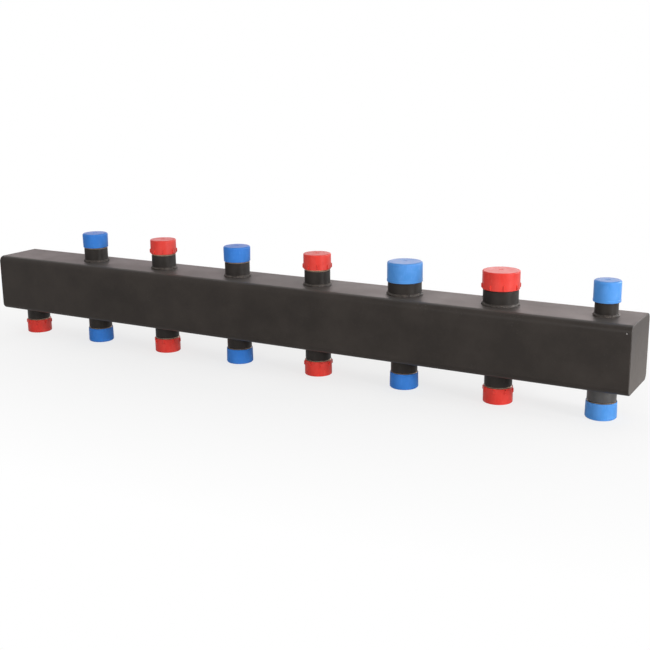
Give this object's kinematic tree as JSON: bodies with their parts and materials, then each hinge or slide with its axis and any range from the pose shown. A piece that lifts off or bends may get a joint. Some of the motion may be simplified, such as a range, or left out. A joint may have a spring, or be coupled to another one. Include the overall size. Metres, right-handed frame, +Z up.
{
  "type": "water distribution manifold",
  "caption": "Square steel water manifold with separate supply and return chambers inside and rows of threaded nipples above and below, each closed by a red or blue plastic cap.",
  "frame": {"origin": "centre of the box that holds the whole part, on the plane that the lower caps stand on", "axes": "+X along the square section to the end with the small nipple, +Y from the front face to the rear face, +Z up"},
  "size_m": [0.947, 0.08, 0.1608],
  "materials": {
    "black_coat": "satin",
    "mill_steel": "mill",
    "red_plastic": "satin",
    "blue_plastic": "satin"
  },
  "bodies": {
    "root": {"box_section": "black_coat", "left_end_plate": "black_coat", "right_end_plate": "black_coat", "partition_plate": "mill_steel", "partition_welds": "mill_steel", "top_welds": "black_coat", "bottom_welds": "black_coat", "top_nipple_1": "black_coat", "top_cap_1": "blue_plastic", "top_nipple_2": "black_coat", "top_cap_2": "red_plastic", "top_nipple_3": "black_coat", "top_cap_3": "blue_plastic", "top_nipple_4": "black_coat", "top_cap_4": "red_plastic", "top_nipple_5": "black_coat", "top_cap_5": "blue_plastic", "top_nipple_6": "black_coat", "top_cap_6": "red_plastic", "top_nipple_7": "black_coat", "top_cap_7": "blue_plastic", "bottom_nipple_1": "black_coat", "bottom_cap_1": "red_plastic", "bottom_nipple_2": "black_coat", "bottom_cap_2": "blue_plastic", "bottom_nipple_3": "black_coat", "bottom_cap_3": "red_plastic", "bottom_nipple_4": "black_coat", "bottom_cap_4": "blue_plastic", "bottom_nipple_5": "black_coat", "bottom_cap_5": "red_plastic", "bottom_nipple_6": "black_coat", "bottom_cap_6": "blue_plastic", "bottom_nipple_7": "black_coat", "bottom_cap_7": "red_plastic", "bottom_nipple_8": "black_coat", "bottom_cap_8": "blue_plastic"}
  },
  "joints": []
}
